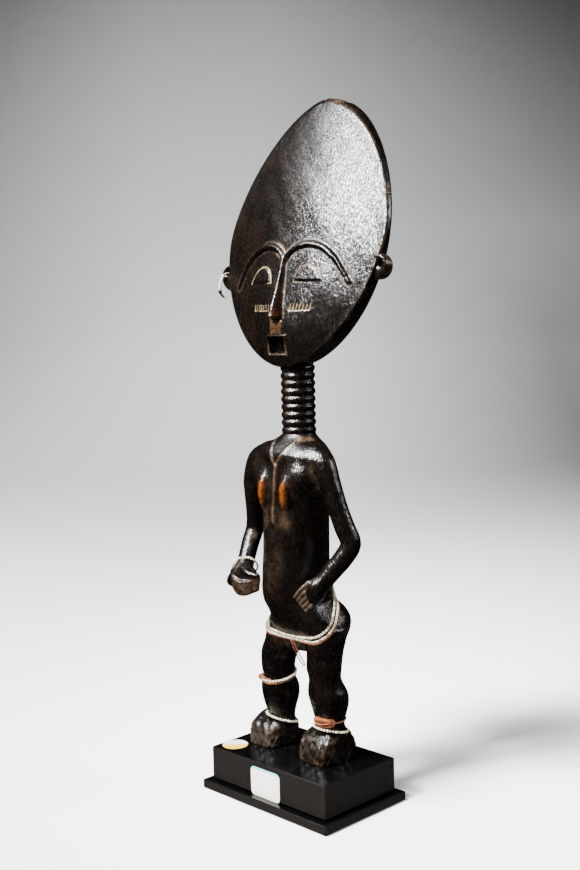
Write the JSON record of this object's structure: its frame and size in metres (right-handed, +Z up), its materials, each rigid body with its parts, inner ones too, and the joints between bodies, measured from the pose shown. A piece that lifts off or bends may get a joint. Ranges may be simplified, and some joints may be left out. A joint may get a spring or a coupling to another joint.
{
  "type": "carved wooden figure on display base",
  "caption": "Standing carved wooden doll figure with a tall disc-shaped head, ringed neck and bead strings, pinned to a two-step black display base.",
  "frame": {"origin": "centre of the display base's underside", "axes": "+Z up along the figure's height, -Y the way the figure faces, +X the figure's left"},
  "size_m": [0.1451, 0.0826, 0.434],
  "materials": {
    "carved_wood": "dark polished patina",
    "black_lacquer": "gloss lacquer",
    "felt": "matt felt",
    "steel": "plain",
    "paper_label": "satin paper",
    "sticker_paper": "satin paper",
    "cream_beads": "opaque glass",
    "black_beads": "opaque glass",
    "ochre_thread": "twisted fibre",
    "grey_thread": "twisted fibre"
  },
  "bodies": {
    "base": {"base_block": "black_lacquer", "base_spacer": "black_lacquer", "base_plinth": "black_lacquer", "base_felt": "felt", "base_screws": "steel", "mount_pin_right": "steel", "mount_pin_left": "steel", "lot_label": "paper_label", "round_sticker": "sticker_paper"},
    "figure": {"carved_figure": "carved_wood", "waist_beads_upper": "cream_beads", "waist_beads_lower": "cream_beads", "waist_thread": "ochre_thread", "knee_beads_right": "cream_beads", "knee_thread_right": "ochre_thread", "ankle_thread_left": "ochre_thread"},
    "ear_loop": {"ear_thread": "grey_thread", "ear_beads_white": "cream_beads", "ear_bead_black": "black_beads", "ear_beads_dark": "black_beads"},
    "loin_cord": {"loin_cord": "ochre_thread"},
    "wrist_ring": {"wrist_beads_right": "cream_beads"},
    "ankle_ring_right": {"ankle_beads_right": "cream_beads"},
    "ankle_ring_left": {"ankle_beads_left": "cream_beads"}
  },
  "joints": [
    {"name": "figure_lift", "type": "slide", "parent": "base", "child": "figure", "axis": [0, 0, 1], "range_m": [0, 0.03]},
    {"name": "ear_loop_swing", "type": "hinge", "parent": "figure", "child": "ear_loop", "pos_m": [-0.066, 0.01098, 0.3313], "axis": [0, 1, 0], "range_deg": [-20, 20]},
    {"name": "loin_cord_swing", "type": "hinge", "parent": "figure", "child": "loin_cord", "pos_m": [0.0048, -0.0106, 0.1034], "axis": [1, 0, 0], "range_deg": [-25, 0]},
    {"name": "wrist_beads_turn", "type": "hinge", "parent": "figure", "child": "wrist_ring", "pos_m": [-0.0329, -0.014, 0.1448], "axis": [0.6061, -0.5931, -0.5301], "continuous": true},
    {"name": "ankle_beads_right_turn", "type": "hinge", "parent": "figure", "child": "ankle_ring_right", "pos_m": [-0.0217, 0.0045, 0.0447], "axis": [0.1211, 0.2673, 0.956], "continuous": true},
    {"name": "ankle_beads_left_turn", "type": "hinge", "parent": "figure", "child": "ankle_ring_left", "pos_m": [0.0217, 0.0045, 0.0474], "axis": [0.043, 0.1892, 0.981], "continuous": true}
  ]
}
